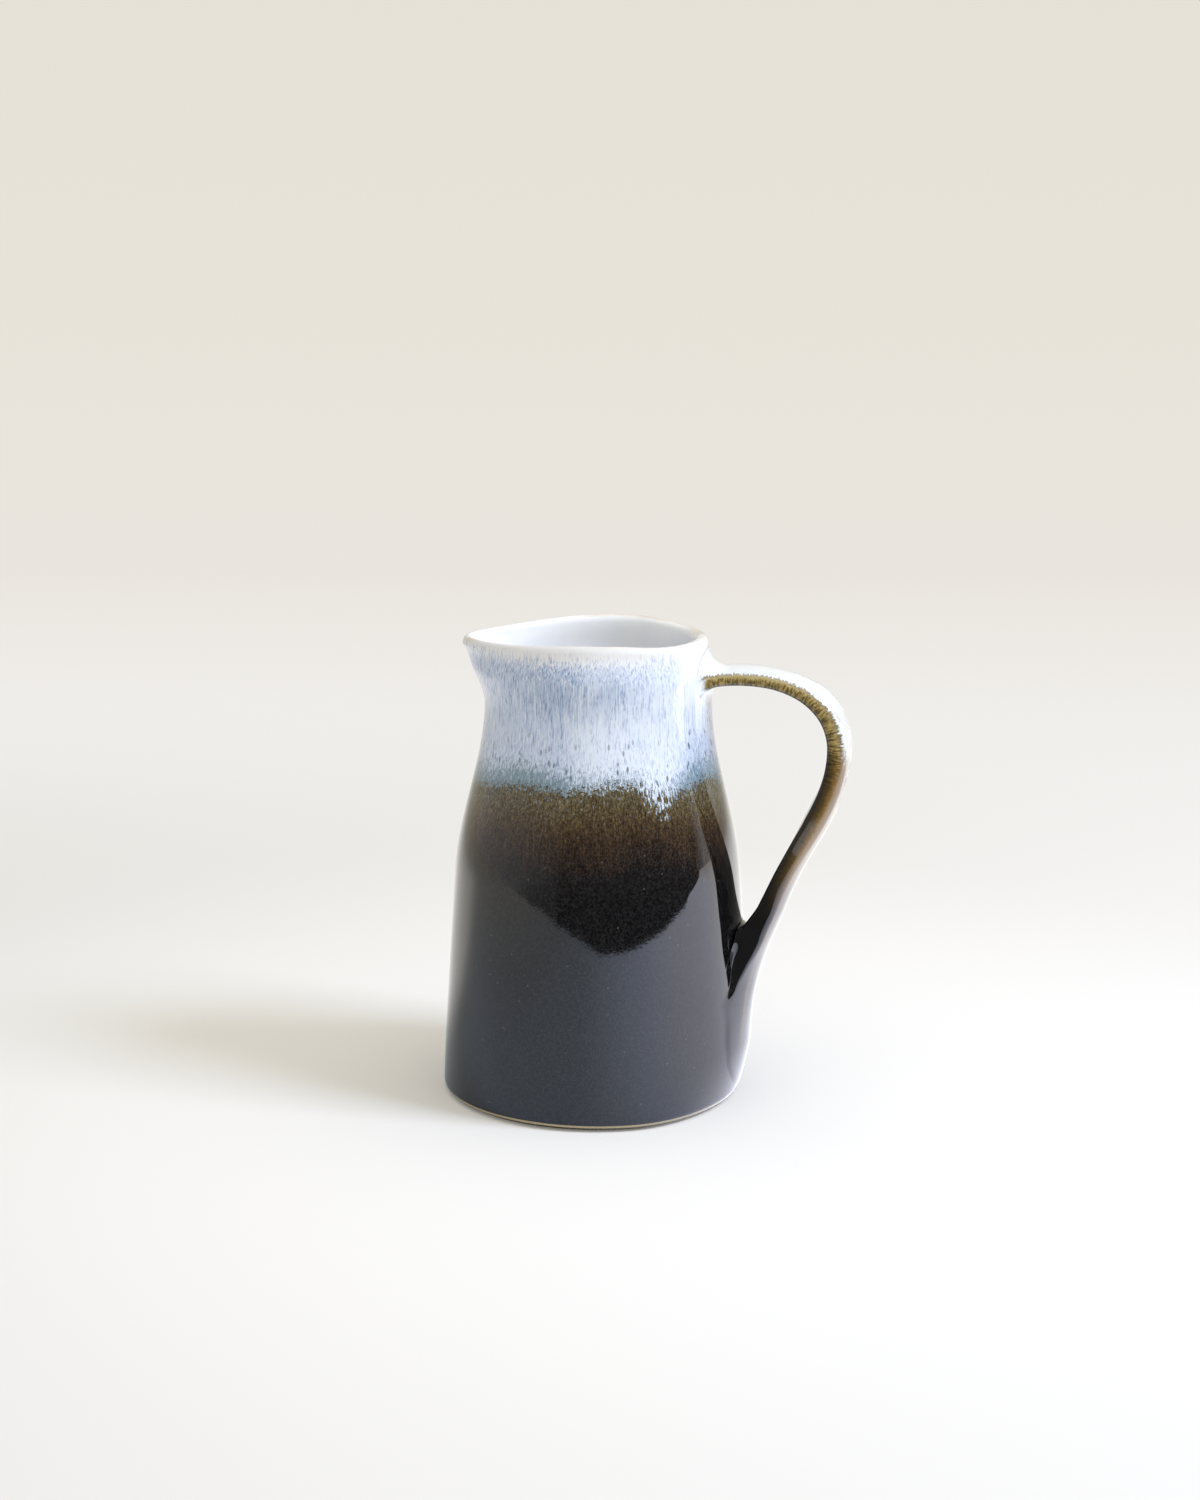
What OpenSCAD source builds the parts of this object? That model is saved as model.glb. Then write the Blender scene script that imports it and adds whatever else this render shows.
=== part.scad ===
// Stoneware milk jug: a thrown body with a pulled lip, a strap handle luted on with slip,
// a white glaze inside and a pale glaze dipped over a dark one outside.
// The jug stands on z = 0 with its axis on Z. The lip points along -X and the handle along +X.

/* [Body] */
// Height of the glazed rim on the handle's side
jug_h = 140; // [130:1:160]
// Diameter of the clay just above the heel
base_d = 91.7; // [86:0.1:100]
// Height where the side begins to turn in to the shoulder
shoulder_z = 68; // [58:1:80]
// Diameter of the clay at that height
shoulder_d = 84.6; // [78:0.1:90]
// Height where the shoulder runs into the neck
neck_z = 119; // [106:1:124]
// Diameter of the clay at the neck
neck_d = 66.7; // [58:0.1:76]
// Loss of radius for each mm of height just above the heel
heel_taper = 0.03; // [0:0.01:0.06]
// Loss of radius for each mm of height at the shoulder
shoulder_taper = 0.07; // [0.02:0.01:0.12]
// Thickness of the clay wall
wall = 3.6; // [2.5:0.1:5]
// Thickness of the clay floor
floor_t = 5; // [4:0.1:8]
// Radius inside, between the floor and the wall
floor_r = 9; // [4:0.5:14]

/* [Foot] */
// Radius of the heel, where the side turns under
heel_r = 3; // [2:0.1:5]
// Width of the ring that the jug stands on
foot_w = 7; // [4:0.5:12]
// Depth of the hollow inside that ring
foot_recess = 2; // [1:0.1:3]
// Height of the bare clay line above the table
bare_foot = 1.2; // [0.6:0.1:1.8]

/* [Lip] */
// How far the lip is pulled out past the rim
lip_reach = 9.5; // [2:0.5:12]
// Angle from the middle of the lip to where it meets the round rim
lip_spread = 67; // [30:1:70]
// Angle over which the lip's point is rounded off
lip_point = 20; // [4:1:30]
// Height of the wall that bends out to the lip
lip_h = 21; // [12:1:26]
// How much lower the rim is at the lip than at the handle
lip_fall = 2.4; // [0:0.1:4]
// How far the rim is drawn in from the neck
rim_draw = 1.7; // [0:0.1:3]

/* [Handle] */
// Distance from the axis to the middle of the strap where it is farthest out
handle_reach = 72; // [66:0.5:84]
// Distance from the rim down to the middle of the strap at its upper root
handle_drop = 13; // [12:0.5:17]
// Distance from the rim down to where the strap is farthest out
bend_drop = 32.5; // [28:0.5:40]
// Height of the end of the tail that is smoothed down onto the body
tail_z = 8; // [6:0.5:16]
// How much the strap rises after it leaves the body
strap_rise = 3.5; // [0:0.5:8]
// Pull of the strap's curve above its farthest point
crown_pull = 16.5; // [8:0.5:18]
// Pull of the strap's curve below its farthest point
bend_pull = 26; // [22:1:40]
// Pull of the strap's curve up from the tail
tail_pull = 64; // [50:1:70]
// Width of the strap
strap_w = 20; // [16:0.5:24]
// Thickness of the strap
strap_t = 6.6; // [5:0.1:8]
// Radius of the blend round the upper root
root_r = 5; // [2.5:0.5:6]
// How much the strap thickens inwards at its lower root
lower_fill = 4.5; // [0:0.5:6]
// Width of the tail on the body
tail_w = 38; // [26:1:44]
// Least thickness of the tail's edge
tail_edge = 0.6; // [0.4:0.1:1]

/* [Glaze and slip] */
// Thickness of each coat of glaze, and of the slip under the handle
glaze_t = 0.4; // [0.2:0.05:0.6]
// Height where the pale glaze ends over the dark one
band_z = 95; // [80:1:105]
// Margin that the strap covers on each side of its slip
slip_margin = 1.5; // [1:0.25:2.5]
// Height of the lower slip's first mm above the tail's end
slip_start = 9; // [6:0.5:12]
// Length of the lower slip up the body
slip_len = 24; // [14:1:28]
// Clearance between the strap and the coat that it lies on
seat_gap = 0.05; // [0.02:0.01:0.1]

/* [Hidden] */
$fn = 72;

// Facets round the lofted neck, points round the strap and steps along curves
neck_facets = $fn;
strap_facets = 24;
arc_steps = 5;
side_steps = 12;
neck_steps = 6;
strap_steps = 14;
tail_steps = 20;

// Heights and radii that follow from the sizes above
rim_z = jug_h - glaze_t - wall / 2;
rim_mid = neck_d / 2 - rim_draw - wall / 2;
lip_z = jug_h - lip_h;
foot_out = base_d / 2 - heel_r;
foot_in = foot_out - foot_w;
corner_z = floor_t + floor_r;
top_z = jug_h - handle_drop;
bend_z = jug_h - bend_drop;
coat_start = asin((bare_foot - heel_r) / heel_r);

// Ledge where the lofted neck stands in the turned wall, and how far it goes down into it
seam_step = 0.04;
seam_dip = 0.2;

// Height over which the rim is drawn in
draw_h = 9.5;

// Shares of the tail's curve: where it starts to widen, is widest and has lost no thickness yet
widen_from = 0.5;
widest_at = 0.8;
thin_from = 0.7;

// Shares of the tail's curve between which the strap thickens inwards
fill_from = 0.6;
fill_to = 0.78;

// Rings lie closer together towards the end of the tail, as the sine of an angle up to this one
tail_turn = 87;

// Powers that shape the lip's bend, the strap's two edges and the flat of its inner face
lip_bend = 1.5;
edge_power = 0.8;
flat_power = 0.5;

// Distance from the wall, in blend radii, over which the upper root turns to follow it
root_follow = 3;

function steps(a, b, n) = [for (i = [0 : n]) a + (b - a) * i / n];
function backward(list) = [for (i = [len(list) - 1 : -1 : 0]) list[i]];
function rest(list) = [for (i = [1 : len(list) - 1]) list[i]];
function within(t) = min(1, max(0, t));
function ease(t) = let (u = within(t)) u * u * (3 - 2 * u);

// Smooth run between two stations, each a height, a radius and a slope
function flow(z, a, b) =
    let (h = b[0] - a[0], t = (z - a[0]) / h)
    (2 * t * t * t - 3 * t * t + 1) * a[1] + (t * t * t - 2 * t * t + t) * h * a[2]
    + (3 * t * t - 2 * t * t * t) * b[1] + (t * t * t - t * t) * h * b[2];

// Radius of the clay's outside at a height
function clay_r(z) =
    let (low = [heel_r, base_d / 2, -heel_taper],
         mid = [shoulder_z, shoulder_d / 2, -shoulder_taper],
         high = [neck_z, neck_d / 2, 0])
    z >= neck_z ? neck_d / 2 - rim_draw * ease((z - rim_z + draw_h) / draw_h)
    : z >= shoulder_z ? flow(z, mid, high) : flow(z, low, mid);

// Stretches of the outline as [radius, height], each with a skin of glaze over the clay
function heel(skin, from, to) =
    let (r = heel_r + skin)
    [for (a = steps(from, to, arc_steps)) [foot_out + r * cos(a), heel_r + r * sin(a)]];
function side(skin, z0, z1, n) = [for (z = steps(z0, z1, n)) [clay_r(z) + skin, z]];
function rim(skin, from, to) =
    let (r = wall / 2 + skin)
    [for (a = steps(from, to, arc_steps)) [rim_mid + r * cos(a), rim_z + r * sin(a)]];
function inside(skin, z0, z1, n) = side(-wall - skin, z0, z1, n);
function corner(skin) =
    let (mid = clay_r(corner_z) - wall - floor_r, r = floor_r - skin)
    [for (a = steps(0, -90, arc_steps)) [mid + r * cos(a), corner_z + r * sin(a)]];

// Whole runs of the outline, joined without doubled points
function foot_run() =
    concat([[0, foot_recess], [foot_in - foot_recess, foot_recess], [foot_in, 0]], heel(0, -90, coat_start));
function dark_run(skin) = concat(heel(skin, coat_start, 0), rest(side(skin, heel_r, band_z, side_steps)));
function pale_run(skin) = side(skin, band_z, lip_z, neck_steps);
function inner_run(skin) =
    concat(inside(skin, lip_z, corner_z, side_steps), rest(corner(skin)), [[0, floor_t + skin]]);
function neck_run(skin) = side(skin, lip_z, rim_z, neck_steps);
function throat_run(skin) = inside(skin, rim_z, lip_z, neck_steps);

// A coat is the space between a run on the clay and the same run on the glaze
function coat(clay, glaze) = concat(glaze, backward(clay));

// A point of the neck, pulled out and down towards the lip, whose rim runs straight to its rounded point
function lip_share(a) =
    let (away = norm([a - 180, lip_point]), left = max(0, lip_spread + lip_point - away))
    (1 / cos(left) - 1) / (1 / cos(lip_spread) - 1);
function neck_point(p, a) =
    let (t = within((p[1] - lip_z) / (rim_z - lip_z)),
         r = p[0] + lip_reach * lip_share(a) * pow(t, lip_bend))
    [r * cos(a), r * sin(a), p[1] - t * lip_fall * pow(max(0, -cos(a)), lip_bend)];

// The lofted neck starts inside the turned wall, a little in from both of its faces
function on_seam(p) = p[1] < lip_z + seam_step;
function seam_point(p, mid) =
    [p[0] > mid ? p[0] - seam_step : p[0] / cos(180 / neck_facets) + seam_step, lip_z - seam_dip];
function neck_rings(run) =
    let (seam = [for (p = run) if (on_seam(p)) p[0]], mid = (seam[0] + seam[1]) / 2)
    [for (p = run) let (q = on_seam(p) ? seam_point(p, mid) : p)
        [for (i = [0 : neck_facets - 1]) neck_point(q, 360 * i / neck_facets)]];

// Triangles between neighbouring rings of n points
function band_faces(a, b, n) =
    [for (i = [0 : n - 1]) let (j = (i + 1) % n) each [[a + i, b + i, b + j], [a + i, b + j, a + j]]];

// Solid through rings that close on themselves, as a coat or a wall does
module ring_loft(rings) {
    n = len(rings[0]);
    count = len(rings);
    faces = [for (k = [0 : count - 1]) each band_faces(k * n, ((k + 1) % count) * n, n)];
    polyhedron(points = [for (r = rings) each r], faces = faces);
}

// Solid through rings with a point at each end
module capped_loft(first, rings, last) {
    n = len(rings[0]);
    count = len(rings);
    points = concat([for (r = rings) each r], [first, last]);
    start = [for (i = [0 : n - 1]) [count * n, i, (i + 1) % n]];
    end = [for (i = [0 : n - 1]) [count * n + 1, (count - 1) * n + (i + 1) % n, (count - 1) * n + i]];
    between = [for (k = [0 : count - 2]) each band_faces(k * n, (k + 1) * n, n)];
    polyhedron(points = points, faces = concat(start, between, end));
}

// The handle's seat: how far out the glazed wall lies, y off the middle, at a height
function wall_x(y, z) = sqrt(pow(clay_r(z) + glaze_t + seat_gap, 2) - y * y);

// The strap's middle line, in two curves that meet where it is farthest out
top_curve = [[wall_x(0, top_z), top_z], [(wall_x(0, top_z) + handle_reach) / 2, top_z + strap_rise],
             [handle_reach, bend_z + crown_pull], [handle_reach, bend_z]];
tail_curve = [[handle_reach, bend_z], [handle_reach, bend_z - bend_pull],
              [wall_x(0, tail_z), tail_z + tail_pull], [wall_x(0, tail_z), tail_z]];
function curve_at(c, t) =
    let (u = 1 - t)
    u * u * u * c[0] + 3 * u * u * t * c[1] + 3 * u * t * t * c[2] + t * t * t * c[3];
function curve_out(c, t) =
    let (u = 1 - t,
         d = u * u * (c[1] - c[0]) + 2 * u * t * (c[2] - c[1]) + t * t * (c[3] - c[2]))
    [-d[1], d[0]] / norm(d);

// Outline of the strap, crowned outside and flatter inside, as [across, outward] for an angle
function strap_across(half, a) = half * sign(cos(a)) * pow(abs(cos(a)), edge_power);
function strap_out(half, a, fill = 0) =
    sin(a) > 0 ? half * sin(a) : -(half + fill) * pow(abs(sin(a)), flat_power);
strap_angles = [for (i = [0 : strap_facets - 1]) 360 * i / strap_facets];

// A ring of the strap round a point of its middle line, hugging the wall by a share
function strap_ring(mid, out, half_w, half_t, hug, fill = 0) =
    [for (a = strap_angles)
        let (y = strap_across(half_w, a), n = strap_out(half_t, a, fill), z = mid[1] + n * out[1],
             x = mid[0] + n * out[0] + hug * (wall_x(y, z) - wall_x(0, mid[1])))
        [max(x, wall_x(y, z) + tail_edge * ceil(within(sin(a))) * hug * ease(out[0])), y, z]];

// Growth of the strap towards its upper root, a quarter round that ends along the wall
function root_growth(gap) = gap < root_r ? root_r - sqrt(root_r * root_r - pow(root_r - gap, 2)) : 0;
function top_ring(t) =
    let (mid = curve_at(top_curve, t), gap = max(0, mid[0] - wall_x(0, mid[1])), grow = root_growth(gap),
         hug = pow(1 - within(gap / (root_follow * root_r)), 2),
         out = (1 - hug) * curve_out(top_curve, t) + hug * [0, 1])
    strap_ring(mid, out / norm(out), strap_w / 2 + grow, strap_t / 2 + grow, hug);

// Width and thickness of the strap along its tail, which ends round and thin
function tail_half(t) =
    t < widest_at ? strap_w / 2 + (tail_w - strap_w) / 2 * ease((t - widen_from) / (widest_at - widen_from))
    : tail_w / 2 * sqrt(1 - pow((t - widest_at) / (1 - widest_at), 2));
function tail_ring(t) =
    let (thin = within((t - thin_from) / (1 - thin_from)),
         hug = ease((t - widen_from) / (widest_at - widen_from)))
    strap_ring(curve_at(tail_curve, t), curve_out(tail_curve, t), tail_half(t),
               (1 - thin) * strap_t / 2 + thin * tail_edge, hug,
               lower_fill * ease((t - fill_from) / (fill_to - fill_from)));

// The strap's end on the wall, in rings that grow from the middle to the whole root
function seat_ring(k) =
    [for (a = strap_angles)
        let (y = k * strap_across(strap_w / 2 + root_r, a),
             z = top_z + k * strap_out(strap_t / 2 + root_r, a))
        [wall_x(y, z), y, z]];

// Prisms along X that mark where slip and not glaze lies under the strap
module slip_prism(z, w, h) {
    translate([0, 0, z]) rotate([90, 0, 90]) linear_extrude(handle_reach)
        translate([-w / 2, -h / 2]) square([w, h]);
}
module upper_prism() {
    slip_prism(top_z, strap_w - 2 * slip_margin, strap_t);
}
module lower_prism() {
    slip_prism(tail_z + slip_start + slip_len / 2, strap_w - 2 * slip_margin, slip_len);
}

// The two outer coats before the strap's windows are cut in them
module dark_coat() {
    rotate_extrude() polygon(coat(dark_run(0), dark_run(glaze_t)));
}
module pale_coat() {
    rotate_extrude() polygon(coat(pale_run(0), pale_run(glaze_t)));
    ring_loft(neck_rings(coat(concat(neck_run(0), rest(rim(0, 0, 90))),
                              concat(neck_run(glaze_t), rest(rim(glaze_t, 0, 90))))));
}

// Thrown clay: foot ring, wall, neck and pulled lip
module stoneware_body() {
    color("tan") {
        rotate_extrude() polygon(concat(foot_run(), rest(dark_run(0)), rest(pale_run(0)), inner_run(0)));
        ring_loft(neck_rings(concat(neck_run(0), rest(rim(0, 0, 90)),
                                    rest(rim(0, 90, 180)), rest(throat_run(0)))));
    }
}

// Pulled strap, glaze and all, with its tail smoothed down onto the body
module handle() {
    top = [for (t = steps(0, 1, strap_steps)) top_ring(t * t)];
    tail = [for (a = steps(0, tail_turn, tail_steps)) tail_ring(sin(a))];
    color("saddlebrown")
        capped_loft([wall_x(0, top_z), 0, top_z],
                    concat([for (k = [1 / 3, 2 / 3]) seat_ring(k)], top, rest(tail)),
                    [wall_x(0, tail_z) + tail_edge / 2, 0, tail_z]);
}

// Slip that holds the strap's upper root
module upper_slip() {
    color("burlywood") intersection() { pale_coat(); upper_prism(); }
}

// Slip that holds the strap's tail
module lower_slip() {
    color("burlywood") intersection() { dark_coat(); lower_prism(); }
}

// White glaze over the floor, the inside wall and the inner half of the rim
module liner_glaze() {
    color("white") {
        rotate_extrude() polygon(coat(inner_run(0), inner_run(glaze_t)));
        ring_loft(neck_rings(coat(concat(rim(0, 90, 180), rest(throat_run(0))),
                                  concat(rim(glaze_t, 90, 180), rest(throat_run(glaze_t))))));
    }
}

// Dark glaze from the bare foot up to the band
module dark_glaze() {
    color("dimgray") difference() { dark_coat(); lower_prism(); }
}

// Pale glaze from the band up to the top of the rim
module pale_glaze() {
    color("lightsteelblue") difference() { pale_coat(); upper_prism(); }
}

// Dark glaze in the hollow of the foot
module base_glaze() {
    color("dimgray") translate([0, 0, foot_recess - glaze_t])
        cylinder(r = foot_in - foot_recess, h = glaze_t);
}

stoneware_body();
handle();
upper_slip();
lower_slip();
liner_glaze();
dark_glaze();
pale_glaze();
base_glaze();
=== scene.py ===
# %% [markdown]
# # A stoneware milk jug
# The jug is thrown on a wheel, its lip is pulled out with a finger, and a strap handle is luted on with slip.
# White glaze is poured inside. Outside, the jug is dipped in a dark glaze and its top in a pale one, and the two
# run together in the kiln. The pieces here are the clay, the outer glaze, the liner, the glaze under the base and
# the strap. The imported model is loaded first, because every piece has to lie where the solids lie.

# %% Load the frame
import math
import bpy
import numpy as np
from mathutils import Matrix, Vector


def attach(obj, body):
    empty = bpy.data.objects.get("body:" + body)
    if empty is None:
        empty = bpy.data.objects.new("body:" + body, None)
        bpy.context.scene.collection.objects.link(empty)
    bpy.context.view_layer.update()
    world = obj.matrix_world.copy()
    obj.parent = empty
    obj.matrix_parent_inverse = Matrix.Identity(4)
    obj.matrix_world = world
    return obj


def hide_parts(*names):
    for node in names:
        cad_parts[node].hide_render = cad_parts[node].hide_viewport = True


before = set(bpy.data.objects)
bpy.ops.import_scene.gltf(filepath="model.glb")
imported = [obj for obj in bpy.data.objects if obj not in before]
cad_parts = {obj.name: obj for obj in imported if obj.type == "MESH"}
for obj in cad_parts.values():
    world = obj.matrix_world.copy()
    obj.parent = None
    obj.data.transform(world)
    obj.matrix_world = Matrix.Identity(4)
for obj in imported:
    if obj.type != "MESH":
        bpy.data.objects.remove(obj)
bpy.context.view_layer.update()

MM = 0.001
print("solids:", sorted(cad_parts))

# %% [markdown]
# ## The outline of the clay
# The side of the jug is two smooth runs, one from the heel to the shoulder and one from the shoulder to the neck.
# It could be drawn by eye. Here it is worked out from the same lengths as in the solids, in mm, so that a coat
# built on this outline fits them.

# %% Outline of the side
JUG_H, WALL, GLAZE = 140.0, 3.6, 0.4
HEEL_R, BASE_R, HEEL_SLOPE = 3.0, 45.85, -0.03
SHOULDER_Z, SHOULDER_R, SHOULDER_SLOPE = 68.0, 42.3, -0.07
NECK_Z, NECK_R = 119.0, 33.35


def flow(z, z0, r0, slope0, z1, r1, slope1):
    h = z1 - z0
    t = (z - z0) / h
    return ((2 * t**3 - 3 * t**2 + 1) * r0 + (t**3 - 2 * t**2 + t) * h * slope0
            + (3 * t**2 - 2 * t**3) * r1 + (t**3 - t**2) * h * slope1)


def clay_radius(z):
    z = np.asarray(z, float)
    low = flow(z, HEEL_R, BASE_R, HEEL_SLOPE, SHOULDER_Z, SHOULDER_R, SHOULDER_SLOPE)
    high = flow(z, SHOULDER_Z, SHOULDER_R, SHOULDER_SLOPE, NECK_Z, NECK_R, 0.0)
    return np.where(z < SHOULDER_Z, low, np.where(z < NECK_Z, high, NECK_R))


def side(skin, z0, z1, count):
    return [(float(clay_radius(z)) + skin, z) for z in np.linspace(z0, z1, count)]


def arc(centre, radius, start, stop, count):
    turn = np.radians(np.linspace(start, stop, count))
    return [(centre[0] + radius * math.cos(a), centre[1] + radius * math.sin(a)) for a in turn]


print("radius at the heel, shoulder and neck, mm:", clay_radius([HEEL_R, SHOULDER_Z, NECK_Z]).round(1))

# %% [markdown]
# ## Throwing a piece
# A thrown wall is the same all the way round, so it is drawn once as an outline and spun about the axis. A Screw
# modifier could do that too, but Spin leaves a plain mesh whose vertices can be moved next.
# The outline starts from a plane that is merged into one vertex, and each next point is extruded from the last.
# The doubles at the seam and at the axis are merged before the faces are turned outwards.

# %% A helper that spins an outline
TURNS, DOUBLES = 192, 2e-6


def thrown(name, outline):
    bpy.ops.object.select_all(action="DESELECT")
    bpy.ops.mesh.primitive_plane_add(size=0.01)
    piece = bpy.context.object
    piece.name = piece.data.name = name
    points = [Vector((r * MM, 0, z * MM)) for r, z in outline]
    bpy.ops.object.mode_set(mode="EDIT")
    bpy.ops.mesh.select_all(action="SELECT")
    bpy.ops.mesh.merge(type="CENTER")
    bpy.ops.transform.translate(value=points[0])
    for here, there in zip(points, points[1:]):
        bpy.ops.mesh.extrude_region_move(TRANSFORM_OT_translate={"value": there - here})
    bpy.ops.mesh.select_all(action="SELECT")
    bpy.ops.mesh.spin(steps=TURNS, angle=2 * math.pi, center=(0, 0, 0), axis=(0, 0, 1))
    bpy.ops.mesh.select_all(action="SELECT")
    bpy.ops.mesh.remove_doubles(threshold=DOUBLES)
    bpy.ops.mesh.normals_make_consistent(inside=False)
    bpy.ops.object.mode_set(mode="OBJECT")
    bpy.ops.object.shade_smooth()
    print(name, "has", len(piece.data.vertices), "vertices")
    return piece


print("an outline is spun in", TURNS, "steps")

# %% [markdown]
# ## Pulling the lip
# A potter draws the soft rim out with one finger, between two fingers that hold it. In plan the rim then runs
# straight from the round to the lip. The rim is also drawn in a little from the neck, least of all by the handle.
# Proportional editing could pull one by hand. Here a helper moves the vertices, so that all coats get the same
# pull and stay on the clay.

# %% A helper that pulls the lip
LIP_Z, RIM_Z = 119.0, JUG_H - GLAZE - WALL / 2
LIP_REACH, LIP_SPREAD, LIP_POINT, LIP_FALL, LIP_BEND = 9.4, 67.0, 20.0, 2.4, 1.5
DRAW_IN, DRAW_OUT, DRAW_ROOT, DRAW_H, ROOT_FALL = 1.1, 2.4, 1.4, 9.5, 1.2
ROOT_FROM, ROOT_FULL = 0.25, 0.85


def points_of(piece):
    flat = np.empty(len(piece.data.vertices) * 3)
    piece.data.vertices.foreach_get("co", flat)
    return flat.reshape(-1, 3) / MM


def set_points(piece, points):
    piece.data.vertices.foreach_set("co", (points * MM).ravel())
    piece.data.update()


def ramp(value, low, high):
    t = np.clip((value - low) / (high - low), 0, 1)
    return t * t * (3 - 2 * t)


def lip_share(angle):
    away = np.hypot(angle - 180, LIP_POINT)
    left = np.radians(np.clip(LIP_SPREAD + LIP_POINT - away, 0, None))
    return (1 / np.cos(left) - 1) / (1 / math.cos(math.radians(LIP_SPREAD)) - 1)


def pull_lip(piece):
    p = points_of(piece)
    angle = np.degrees(np.arctan2(p[:, 1], p[:, 0])) % 360
    radius = np.hypot(p[:, 0], p[:, 1])
    t = np.clip((p[:, 2] - LIP_Z) / (RIM_Z - LIP_Z), 0, 1)
    outward = np.clip((radius - NECK_R + WALL + GLAZE) / (WALL + 2 * GLAZE), 0, 1)
    turn = np.radians(angle)
    by_root = ramp(np.cos(turn), ROOT_FROM, ROOT_FULL)
    skin_draw = DRAW_OUT + (DRAW_ROOT - DRAW_OUT) * by_root
    draw = (DRAW_IN + (skin_draw - DRAW_IN) * outward) * ramp(p[:, 2], RIM_Z - DRAW_H, RIM_Z)
    radius = radius + LIP_REACH * lip_share(angle) * t**LIP_BEND - draw
    p[:, 2] -= t * (LIP_FALL * np.clip(-np.cos(turn), 0, None) ** LIP_BEND + ROOT_FALL * by_root)
    p[:, 0], p[:, 1] = radius * np.cos(turn), radius * np.sin(turn)
    set_points(piece, p)


print("share of the pull 0, 30 and 60 degrees from the lip:", lip_share(np.array([180, 210, 240])).round(2))

# %% [markdown]
# ## The clay body
# Bare clay shows only at the foot ring. The rest lies under the coats and could be left out, but the body is a
# piece of its own, and the coats need something to lie on.

# %% Throw the body
FOOT_W, RECESS, FLOOR_T, FLOOR_R = 7.0, 2.0, 5.0, 9.0
RING_IN, RING_UP = 0.35, 0.25
FOOT_OUT = BASE_R - HEEL_R
FOOT_IN = FOOT_OUT - FOOT_W
heel_at, rim_at = (FOOT_OUT, HEEL_R), (NECK_R - WALL / 2, RIM_Z)
corner_z = FLOOR_T + FLOOR_R
corner_at = (float(clay_radius(corner_z)) - WALL - FLOOR_R, corner_z)


def inner_wall(skin, count):
    return [(r - WALL - skin, z) for r, z in side(0, RIM_Z, corner_z, count)]


hollow = [(0, RECESS), (FOOT_IN - RECESS, RECESS), (FOOT_IN - RING_IN, RING_UP), (FOOT_IN, 0)]
body = thrown("thrown_body", hollow + arc(heel_at, HEEL_R, -90, 0, 16) + side(0, HEEL_R, RIM_Z, 90)[1:]
              + arc(rim_at, WALL / 2, 0, 180, 25)[1:] + inner_wall(0, 70)[1:]
              + arc(corner_at, FLOOR_R, 0, -90, 16)[1:] + [(0, FLOOR_T)])
pull_lip(body)

# %% [markdown]
# ## The outer coat
# Glaze is a skin of even thickness, with a soft bead where it stops above the bare foot. The outer coat runs from
# that bead to the crest of the rim. A Solidify modifier could thicken a copy of the clay, but an outline with both
# faces of the skin in it gives the bead its shape too.

# %% Coat the outside
FINE, BARE, BEAD, BEAD_TURN = 0.02, 1.2, 0.28, 4
coat_start = math.degrees(math.asin((BARE - HEEL_R) / HEEL_R))
outer_outline = (
    arc(heel_at, HEEL_R + GLAZE, coat_start + BEAD_TURN, 0, 14) + side(GLAZE, HEEL_R, RIM_Z, 110)[1:]
    + arc(rim_at, WALL / 2 + GLAZE, 0, 90, 31)[1:] + arc(rim_at, WALL / 2 + FINE, 90, 0, 12)
    + side(FINE, RIM_Z, HEEL_R, 60)[1:] + arc(heel_at, HEEL_R + FINE, 0, coat_start, 10)[1:]
    + arc(heel_at, HEEL_R + BEAD, coat_start, coat_start, 1))
outer = thrown("outer_glaze", outer_outline + outer_outline[:1])
pull_lip(outer)

# %% [markdown]
# ## The white liner
# The liner is poured in, swilled round and poured out, so it covers the inside from the crest of the rim down over
# the floor. It is made like the outer coat, and the two meet on the crest.

# %% Coat the inside
FLOOR_RING = 20
top_z, under_z = FLOOR_T + GLAZE, FLOOR_T + FINE
liner_outline = (
    arc(rim_at, WALL / 2 + GLAZE, 90, 180, 31) + inner_wall(GLAZE, 90)[1:]
    + arc(corner_at, FLOOR_R - GLAZE, 0, -90, 24)[1:]
    + [(FLOOR_RING, top_z), (0, top_z), (0, under_z), (FLOOR_RING, under_z)]
    + arc(corner_at, FLOOR_R - FINE, -90, 0, 16) + inner_wall(FINE, 60)[::-1][1:]
    + arc(rim_at, WALL / 2 + FINE, 180, 90, 12)[1:])
liner = thrown("white_liner", liner_outline + liner_outline[:1])
pull_lip(liner)

# %% [markdown]
# ## Glaze under the base
# The hollow inside the foot ring is glazed as well, and the ring itself is wiped bare so that it doesn't stick to
# the kiln shelf. A thin disc with a rounded edge is enough for it.

# %% Coat the hollow of the foot
pool_r, pool_z = FOOT_IN - RECESS, RECESS - GLAZE
base = thrown("base_glaze_pool", [(0, pool_z)] + [(pool_r * u, pool_z) for u in (0.3, 0.6, 0.9)]
              + arc((pool_r - GLAZE, RECESS - FINE), GLAZE - FINE, -90, 0, 6) + [(0, RECESS - FINE)])

# %% [markdown]
# ## The strap
# A handle is pulled from a lump of clay into a strap with a crowned outside. Its upper end is pressed onto the
# neck, and its lower end is smoothed down the side, so that neither joint shows an edge. A plain extrusion along
# a curve would leave a hard line at both ends. So a ring is extruded into a tube, and its vertices are then
# settled onto a soft blend of two distances, one to the wall and one to the strap.
# First comes its middle line, in two curves.

# %% Middle line of the strap
HANDLE_REACH, TOP_Z, BEND_Z, TAIL_Z = 71.78, 127.2, 107.3, 8.0
RISE, CROWN_PULL, BEND_PULL, TAIL_PULL = 3.4, 16.6, 26.2, 64.5
ABOVE, BELOW, STATIONS, BURIED = 200, 300, 900, 8


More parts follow.
